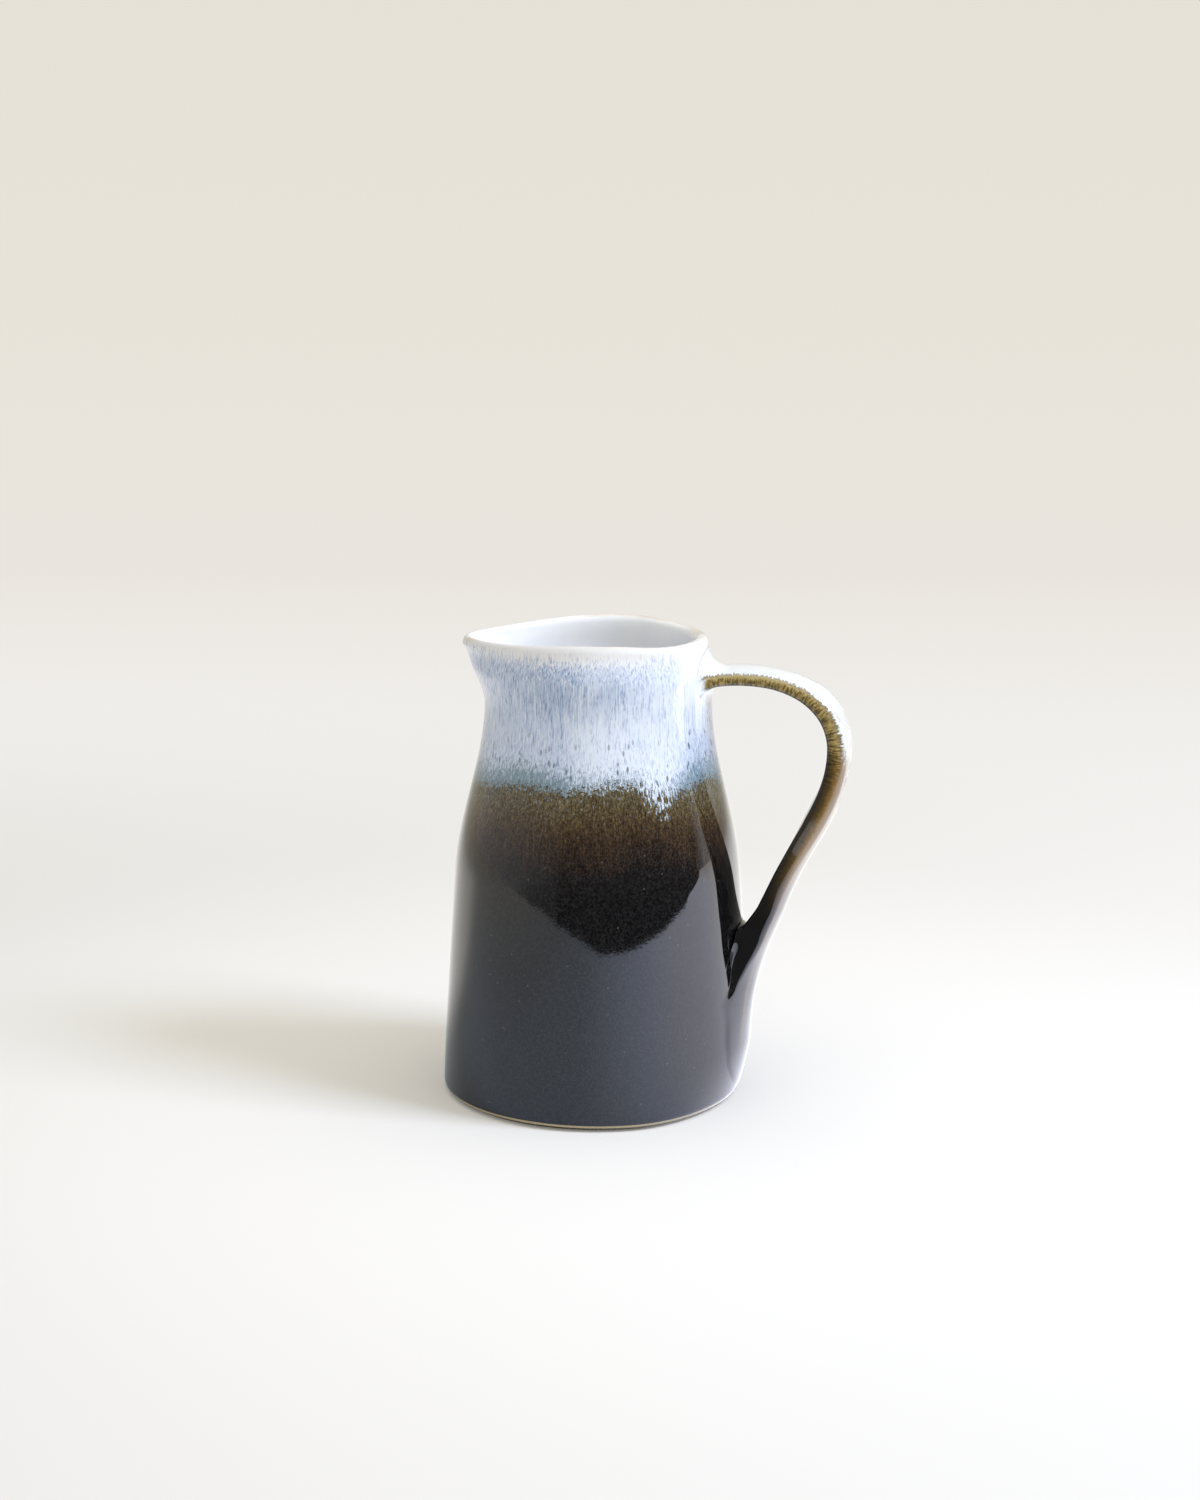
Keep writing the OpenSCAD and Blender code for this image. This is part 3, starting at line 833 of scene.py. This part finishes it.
# %% Join the two glazes
FLECK, TEAL, BY_ROOT, RIM = (0.09, 0.13, 0.17), (0.17, 0.25, 0.31), (0.86, 0.91, 0.97), (0.83, 0.83, 0.84)


def pale_coat(g, pale):
    fleck, chance = g.cells((1, 1, 0.4), 0.75)
    rare = g.between(g.plus(chance, g.times(g.right, 0.3)), 0.68, 0.76)
    low = g.between(g.minus(g.dip, g.times(g.right, 14.0)), 24.0, 2.0)
    pale = g.mix(g.times(g.between(fleck, 0.36, 0.20), rare, low, 0.85), pale, FLECK)
    grainy = g.plus(g.ragged, g.about(g.fine, 16.0), g.times(g.thick, 3.2))
    teal = g.times(g.between(grainy, 9.0, 1.5), g.between(g.thick, 0.0, 1.0, 0.95, 0.8))
    pale = g.mix(teal, pale, TEAL)
    by_root = g.times(g.between(g.x, 19.0, 29.0), g.between(g.z, 118.5, 125.0))
    pale = g.mix(g.times(by_root, 0.75), pale, BY_ROOT)
    return g.mix(g.times(g.between(g.brushed, 132.5, 137.0), 0.8), pale, RIM)


def both_coats(g, dark, pale):
    return g.mix(g.between(g.ragged, -0.9, 0.9), dark, pale_coat(g, pale))


cream = g.mix(g.between(g.cloud, 0.45, 0.62), (0.62, 0.49, 0.34), (0.74, 0.66, 0.58))
cream = g.mix(g.between(g.z, 60.0, 100.0), (0.52, 0.42, 0.25), cream)
gloss(g, g.mix(g.times(g.carried("edge"), 0.85), both_coats(g, dark, pale), cream))

# %% [markdown]
# ## Teeth on the strap
# Glaze draws back from an edge in the kiln. So the strap is pale on its back, olive and tan on its two sides, with
# a ragged line of teeth between, and dark inside. The attribute lay is the angle round the strap: 90 on its back,
# 0 at its side and -90 inside. A noise along the strap shifts that angle, which draws the teeth.

# %% Shift the angle round the strap
h = grained("strap_glaze")
round_it, along_it, near_side = (h.carried(name) for name in ("lay", "along", "near"))
stroke = h.add("ShaderNodeCombineXYZ", {"X": along_it, "Y": h.times(round_it, 0.012)})
teeth = h.add("ShaderNodeTexNoise", {"Vector": stroke, "Scale": 1.8, "Detail": 2.0, "Roughness": 0.6}, "Fac")
spread_up = h.times(h.between(along_it, 54.0, 28.0, 1.0, 21.0), h.between(round_it, -34.0, 8.0), near_side)
deep = h.times(h.between(along_it, 70.0, 50.0, 30.0, 54.0), h.between(near_side, 0.0, 1.0, 0.6, 1.0))
shifted = h.minus(h.plus(round_it, h.about(teeth, deep)), spread_up)
h.report()

# %% [markdown]
# ## Glaze on the strap
# Three colour ramps on the shifted angle hold the bands: one for the pale upper part, one for the tan middle and
# one for the dark tail. They are mixed by height. Where the strap's skin runs onto the wall, the wall's own glaze
# takes over, so that the joint has no line.

# %% Colours of the strap
HIGH_BANDS = [(-90, (0.010, 0.009, 0.008)), (-62, (0.02, 0.017, 0.011)), (-50, (0.06, 0.048, 0.026)),
              (-36, (0.15, 0.112, 0.046)), (-18, (0.27, 0.20, 0.07)), (-2, (0.38, 0.295, 0.12)),
              (8, (0.44, 0.36, 0.19)), (16, (0.20, 0.165, 0.10)), (24, (0.80, 0.85, 0.92)), (90, (0.90, 0.93, 0.96))]
LOW_BANDS = [(-90, (0.008, 0.007, 0.006)), (-44, (0.018, 0.014, 0.010)), (-16, (0.085, 0.056, 0.018)),
             (0, (0.21, 0.125, 0.035)), (14, (0.31, 0.21, 0.105)), (34, (0.27, 0.20, 0.13)),
             (60, (0.12, 0.085, 0.06)), (90, (0.04, 0.028, 0.02))]
TAIL_BANDS = [(-90, (0.005, 0.005, 0.005)), (4, (0.006, 0.005, 0.005)), (22, (0.10, 0.065, 0.035)),
              (40, (0.02, 0.013, 0.01)), (90, (0.006, 0.005, 0.006))]
high, low, tail = (h.shades(shifted, -90.0, 90.0, bands) for bands in (HIGH_BANDS, LOW_BANDS, TAIL_BANDS))
low = h.mix(h.between(h.z, 56.0, 78.0), tail, low)
coat = h.mix(h.between(h.plus(h.z, h.about(h.fine, 14.0)), 103.0, 111.0), low, high)
brown = h.times(h.between(round_it, 24.0, 10.0), h.between(h.z, 92.0, 108.0))
coat = h.mix(brown, coat, h.vector("SCALE", coat, scale=h.between(teeth, 0.38, 0.62, 0.5, 1.25)))
off = h.plus(h.carried("off"), h.about(teeth, 1.6))
under_root = h.times(h.between(off, 8.0, 5.0), h.between(h.z, 125.6, 124.4), h.between(h.z, 104.0, 108.0))
on_strap = h.times(h.between(off, 0.2, 1.4), h.minus(1.0, under_root))
gloss(h, h.mix(on_strap, both_coats(h, dark_coat(h), blue_streaks(h)), coat))

# %% [markdown]
# ## White liner and the base
# The liner is a cool white with a faint cloud in it, and cream where it thins on the rim. The base got the dark
# glaze alone. Two colours mixed by one soft noise are enough for each, because neither is seen close up.

# %% Finish of the liner and the base
w = Finish("white_liner_glaze")
cloud = w.noise((1, 1, 1), 0.12, 3.0)
white = w.mix(w.between(cloud, 0.35, 0.7), (0.90, 0.93, 0.985), (0.94, 0.955, 0.99))
cream = w.mix(w.between(w.noise((1, 1, 1), 0.09, 2.0), 0.45, 0.62), (0.62, 0.49, 0.36), (0.72, 0.62, 0.53))
w.set(Base_Color=w.mix(w.times(w.carried("edge"), 0.8), white, cream),
      Roughness=w.between(cloud, 0.2, 0.8, 0.08, 0.14), IOR=1.55)
w.bump(w.noise((1, 1, 1), 0.5, 2.0), 4e-6)
w.report()

b = Finish("dark_base_glaze")
cloud = b.noise((1, 1, 1), 0.2, 3.0)
b.set(Base_Color=b.mix(b.between(cloud, 0.5, 0.8), (0.004, 0.004, 0.005), (0.03, 0.018, 0.01)),
      Roughness=b.between(cloud, 0.2, 0.8, 0.06, 0.14), IOR=1.6)
b.bump(b.noise((1, 1, 1), 0.8, 2.0), 3e-6)
b.report()

# %% [markdown]
# ## Bare clay
# Bare stoneware is tan, rough and full of iron specks. Above its lowest edge the foot is painted near black as
# painted shadow, where it curls in over the floor, so only that edge stays light. Cells of a Voronoi texture give
# the specks, because they have clean edges.

# %% Finish of the clay
c = Finish("bare_stoneware")
clay = c.mix(c.between(c.noise((1, 1, 1), 0.25, 3.0), 0.35, 0.7), (0.40, 0.29, 0.14), (0.50, 0.39, 0.22))
dot, chance = c.cells((1, 1, 1), 1.1)
iron = c.times(c.between(dot, 0.30, 0.15), c.between(chance, 0.7, 0.8))
clay = c.mix(c.times(iron, 0.7), clay, (0.10, 0.06, 0.03))
painted_shadow_z = c.axes(c.place, "Z")[0]
# painted shadow: bare clay higher than 0.25 mm is darkened near black, as contact shadow at the foot
c.set(Base_Color=c.mix(c.times(c.between(painted_shadow_z, 0.05, 0.25), 0.85), clay, (0.09, 0.06, 0.03)), Roughness=0.78)
c.bump(c.noise((1, 1, 1), 3.0, 3.0), 3e-5)
c.report()

# %% [markdown]
# ## Dressing the pieces
# Each piece gets its finish, rides on the jug's one body, and hides the solids it stands for. The two outer glazes
# are one skin here, because they melt into each other, and the slips lie inside the strap's joints.

# %% Give each piece its finish
DRESS = [
    (body, c.material, "clay", ["stoneware_body"]),
    (outer, g.material, "dark", ["dark_glaze", "pale_glaze"]),
    (liner, w.material, "liner", ["liner_glaze"]),
    (base, b.material, "dark", ["base_glaze"]),
    (handle, h.material, "strap", ["handle", "upper_slip", "lower_slip"]),
]
for piece, finish, slot, nodes in DRESS:
    piece.data.materials.clear()
    piece.data.materials.append(finish)
    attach(piece, "root")
    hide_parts(*nodes)
    print(piece.name, "is finished in", finish.name)

# %% [markdown]
# ## Floor and backdrop
# One pale sheet runs under the jug and sweeps up behind it, as a roll of paper does in a studio. The back edge of a
# plane is extruded in small steps round a quarter circle and then straight up.

# %% Floor sheet
SHEET_W, SHEET_D, SWEEP_R, SWEEP_STEPS, BACK_H = 5.0, 3.0, 0.6, 24, 1.2
bpy.ops.object.select_all(action="DESELECT")
bpy.ops.mesh.primitive_plane_add(size=1)
floor = bpy.context.object
floor.name = "floor_sheet"
bpy.ops.object.mode_set(mode="EDIT")
bpy.ops.mesh.select_all(action="SELECT")
bpy.ops.transform.resize(value=(SHEET_W, SHEET_D, 1.0))
bpy.ops.mesh.select_all(action="DESELECT")
bpy.ops.object.mode_set(mode="OBJECT")
for edge in floor.data.edges:
    edge.select = all(floor.data.vertices[v].co.y > 0.5 for v in edge.vertices)
bpy.ops.object.mode_set(mode="EDIT")
bpy.ops.mesh.select_mode(type="EDGE")
sweep = [math.radians(90 * i / SWEEP_STEPS) for i in range(SWEEP_STEPS + 1)]
for a0, a1 in zip(sweep, sweep[1:]):
    step = (0, SWEEP_R * (math.sin(a1) - math.sin(a0)), SWEEP_R * (math.cos(a0) - math.cos(a1)))
    bpy.ops.mesh.extrude_region_move(TRANSFORM_OT_translate={"value": step})
bpy.ops.mesh.extrude_region_move(TRANSFORM_OT_translate={"value": (0, 0, BACK_H)})
bpy.ops.mesh.select_all(action="SELECT")
bpy.ops.transform.rotate(value=-TURN, orient_axis="Z", center_override=(0, 0, 0))
bpy.ops.mesh.normals_make_consistent(inside=False)
bpy.ops.object.mode_set(mode="OBJECT")
bpy.ops.object.shade_smooth()
print("the sheet rises to", round(max(v.co.z for v in floor.data.vertices), 2), "m")

# %% [markdown]
# ## The sheet's tone and its painted light
# The paper is a dull white. Its warmer, darker tone towards the back is painted falloff of the light. A lamp for the
# backdrop could do that, but a smooth tone that only the camera sees is easier to set. Mirror rays see the sheet in a
# cooler painted tint, and a faint painted glow lightens it next to the jug, where the jug's soft shade would be.

# %% The sheet as the camera sees it
SHEET_AND_FALLOFF_TONES = [(0, (0.79, 0.79, 0.80)), (650, (0.79, 0.78, 0.775)), (2400, (0.78, 0.75, 0.69))]
PAINTED_FALLOFF_TONES = [(100, (0.95, 0.945, 0.94)), (450, (0.91, 0.90, 0.89)), (700, (0.86, 0.835, 0.80)),
             (1050, (0.82, 0.785, 0.735)), (1700, (0.815, 0.78, 0.715)), (2900, (0.775, 0.74, 0.655))]
PAINTED_MIRROR_TONES = [(-420, (0.77, 0.78, 0.80)), (-240, (0.64, 0.69, 0.79)), (-110, (0.66, 0.74, 0.89)),
              (0, (0.70, 0.79, 0.95)), (190, (0.63, 0.70, 0.86)), (320, (0.70, 0.77, 0.93))]
s = Finish("pale_sheet")
square_on = s.turned_back(s.place)
px, py, pz = s.axes(square_on, "XYZ")
depth = s.plus(py, pz)
reach = s.vector("LENGTH", square_on, out="Value")
mirror, seen_straight = s.rays("Is Glossy Ray", "Is Camera Ray")
# painted reflection light: mirror rays see the front of the sheet in a cool tint, bluer near the jug, for window
# light
cool = s.mix(s.between(py, 0.0, 140.0), s.shades(px, -420.0, 320.0, PAINTED_MIRROR_TONES), (0.76, 0.76, 0.76))
# painted falloff: the base colour turns a little warmer and darker towards the back; mirror rays get the painted tint
s.set(Base_Color=s.mix(mirror, s.shades(depth, 0.0, 2400.0, SHEET_AND_FALLOFF_TONES), cool), Roughness=1.0,
      Specular_IOR_Level=0.0)
# painted falloff: the camera sees the back of the sheet as an emission that turns warmer and darker with depth
painted_falloff = s.add("ShaderNodeEmission", {"Color": s.shades(depth, 100.0, 2900.0, PAINTED_FALLOFF_TONES)})
painted_falloff_share = s.times(seen_straight, s.between(depth, 130.0, 700.0))
sheet = s.add("ShaderNodeMixShader", {0: painted_falloff_share, 1: s.shader.outputs[0], 2: painted_falloff})
# painted light: a glow that only the camera sees lightens the sheet next to the jug, taking out the jug's soft shade
painted_glow_level = s.times(seen_straight, s.between(reach, 330.0, 60.0, 0.0, 0.12))
painted_glow_near_jug = s.add("ShaderNodeEmission", {"Strength": painted_glow_level})
s.report()

# %% [markdown]
# ## The sheet in the black glaze
# The black glaze is a mirror, and it shows a room that the camera doesn't. There the sheet ends in front of the jug,
# is lit more on its right, and gives way to a dark room. A whole room could be built for that. Here it is a painted
# reflection: mirror rays see the sheet stop at a drawn front edge, which gives the same reflection with much less, a
# dim emission for the dark room beyond it, and an added emission as painted light on the sheet's right and left.

# %% The sheet as the glaze mirrors it
EDGE_DEEP, EDGE_SOFT = 800.0, 4.0
FRONT_EDGE = ((-2400, -247), (-895, -274), (-540, -271), (-425, -308), (-358, -389), (-282, -417), (-196, -443),
              (-113, -450), (-39, -430), (15, -408), (76, -402), (156, -379), (250, -343), (295, -314), (336, -280),
              (399, -227), (451, -148), (725, -109), (1200, -60))
edge_stops = [(x, ((y + EDGE_DEEP) / EDGE_DEEP,) * 3) for x, y in FRONT_EDGE]
front_y = s.minus(s.times(s.shades(px, -2400.0, 1200.0, edge_stops), EDGE_DEEP), EDGE_DEEP)
front = s.between(s.minus(py, front_y), EDGE_SOFT, -EDGE_SOFT)
# painted reflection: beyond the front edge mirror rays see a dim emission for the dark room, brighter to the left
lean = s.sum("DIVIDE", px, s.times(py, -1.0))
level = s.plus(s.between(lean, -0.55, -0.63, 0.09, 0.19), s.between(lean, -0.6, -2.6, 0.0, 0.36))
painted_dark_room = s.add("ShaderNodeEmission", {"Strength": level})
# painted light in reflections: an emission that only mirror rays see lights the mirrored sheet on its right and left
toward = s.sum("DIVIDE", px, s.sum("SQRT", s.plus(s.times(px, px), s.times(py, py))))
painted_light_right = s.times(s.between(toward, -0.3, 0.97, 0.0, 1.25), s.between(py, 900.0, 300.0))
painted_light_far_left = s.times(s.between(toward, -0.99, -0.88), s.between(toward, -0.2, -0.45))
painted_light_far_left = s.times(painted_light_far_left, s.times(s.between(py, 20.0, 110.0), s.between(reach, 800.0, 300.0, 0.0, 0.5)))
painted_light_tint = s.mix(s.between(toward, 0.45, 0.95), (0.84, 0.92, 1.2), (1.06, 1.02, 1.15))
painted_light_tint = s.mix(s.between(py, 0.0, 120.0), painted_light_tint, (1.05, 1.02, 1.02))
painted_light_tint = s.mix(s.between(toward, -0.3, -0.6), painted_light_tint, (1.08, 1.0, 0.95))
painted_mirror_light = s.add("ShaderNodeEmission", {"Color": painted_light_tint, "Strength": s.times(s.plus(painted_light_right, painted_light_far_left), mirror)})
lit = s.add("ShaderNodeAddShader", {0: s.add("ShaderNodeAddShader", {0: sheet, 1: painted_mirror_light}), 1: painted_glow_near_jug})
seen = s.add("ShaderNodeMixShader", {0: s.times(mirror, front), 1: lit, 2: painted_dark_room})
s.feed(s.tree.nodes["Material Output"].inputs["Surface"], seen)
floor.data.materials.append(s.material)
s.report()

# %% [markdown]
# ## Lamp
# One large soft lamp stands to the right and a little in front, as a window would. A square area lamp has the
# soft edge of shadow that a window gives.

# %% Window lamp
LAMP_AT, LAMP_AIM = Vector((0.80, -0.323, 0.958)), Vector((0, 0, 0.06))
to_jug = Matrix.Rotation(TURN, 4, "Z")
bpy.ops.object.light_add(type="AREA")
lamp = bpy.context.object
lamp.name = "window_lamp"
lamp.data.shape = "SQUARE"
lamp.data.size = 0.42
lamp.data.energy = 8.8
lamp.data.color = (0.91, 1.0, 1.21)
lamp.location = to_jug @ LAMP_AT
lamp.rotation_euler = (LAMP_AIM - lamp.location).to_track_quat("-Z", "Y").to_euler()
print("the lamp stands", round((lamp.location - LAMP_AIM).length, 2), "m away")

# %% [markdown]
# ## Fill
# The rest is a warm fill from all round, brighter on the lamp's side. The room on the camera's side is dark in
# mirror rays, which gives the black glaze its depth, and the camera itself sees a plain backdrop colour.

# %% Room light
ROOM_LEVELS = [(-180, 1.0), (-135, 0.85), (-122, 0.66), (-112, 0.60), (-85, 0.56), (-66, 0.47), (-45, 0.29),
               (-33, 0.2), (-30, 0.11), (88, 0.10), (97, 0.9), (180, 0.9)]
FILL, FILL_FROM, BACKDROP = (0.60, 0.57, 0.49), (0.692, -0.634, 0.346), (0.83, 0.80, 0.74)
world = bpy.data.worlds.new("room")
bpy.context.scene.world = world
world.use_nodes = True
r = Nodes(world.node_tree)
way = r.turned_back(r.add("ShaderNodeTexCoord", {}, "Generated"))
way_x, way_y = r.axes(way, "XY")
bearing = r.sum("ARCTAN2", way_x, r.times(way_y, -1.0))
room_stops = [(math.radians(angle), (level, level, level * 1.03)) for angle, level in ROOM_LEVELS]
room = r.shades(bearing, -math.pi, math.pi, room_stops)
lamp_side = r.between(r.vector("DOT_PRODUCT", way, FILL_FROM, out="Value"), -1.0, 1.0, 0.87, 1.57)
room_mirror, room_straight = r.rays("Is Glossy Ray", "Is Camera Ray")
fill = r.mix(room_mirror, r.vector("SCALE", FILL, scale=lamp_side), room)
r.feed(r.tree.nodes["Background"].inputs["Color"], r.mix(room_straight, fill, BACKDROP))
bpy.context.scene.view_settings.view_transform = "Standard"
print("the room has", len(r.tree.nodes), "nodes")

# %% [markdown]
# ## Camera
# The camera stands in front and a little above, at the photograph's viewing angle, with a long lens. Its focal
# length is known in pixels of the picture's height, and is turned into mm for the sensor's size.

# %% Camera
FOCAL, PICTURE_H, SENSOR = 2969, 1500, 36
EYE, PITCH, ROLL = Vector((0.49, -865.0, 284.6)), 11.81, 0.33
bpy.ops.object.camera_add()
camera = bpy.context.object
camera.data.sensor_width = SENSOR
camera.data.lens = FOCAL / PICTURE_H * SENSOR
turned = Matrix.Rotation(math.radians(90 - PITCH), 4, "X") @ Matrix.Rotation(math.radians(ROLL), 4, "Z")
camera.matrix_world = to_jug @ Matrix.Translation(EYE * MM) @ turned
bpy.context.scene.camera = camera
print("the lens is", round(camera.data.lens, 1), "mm long")
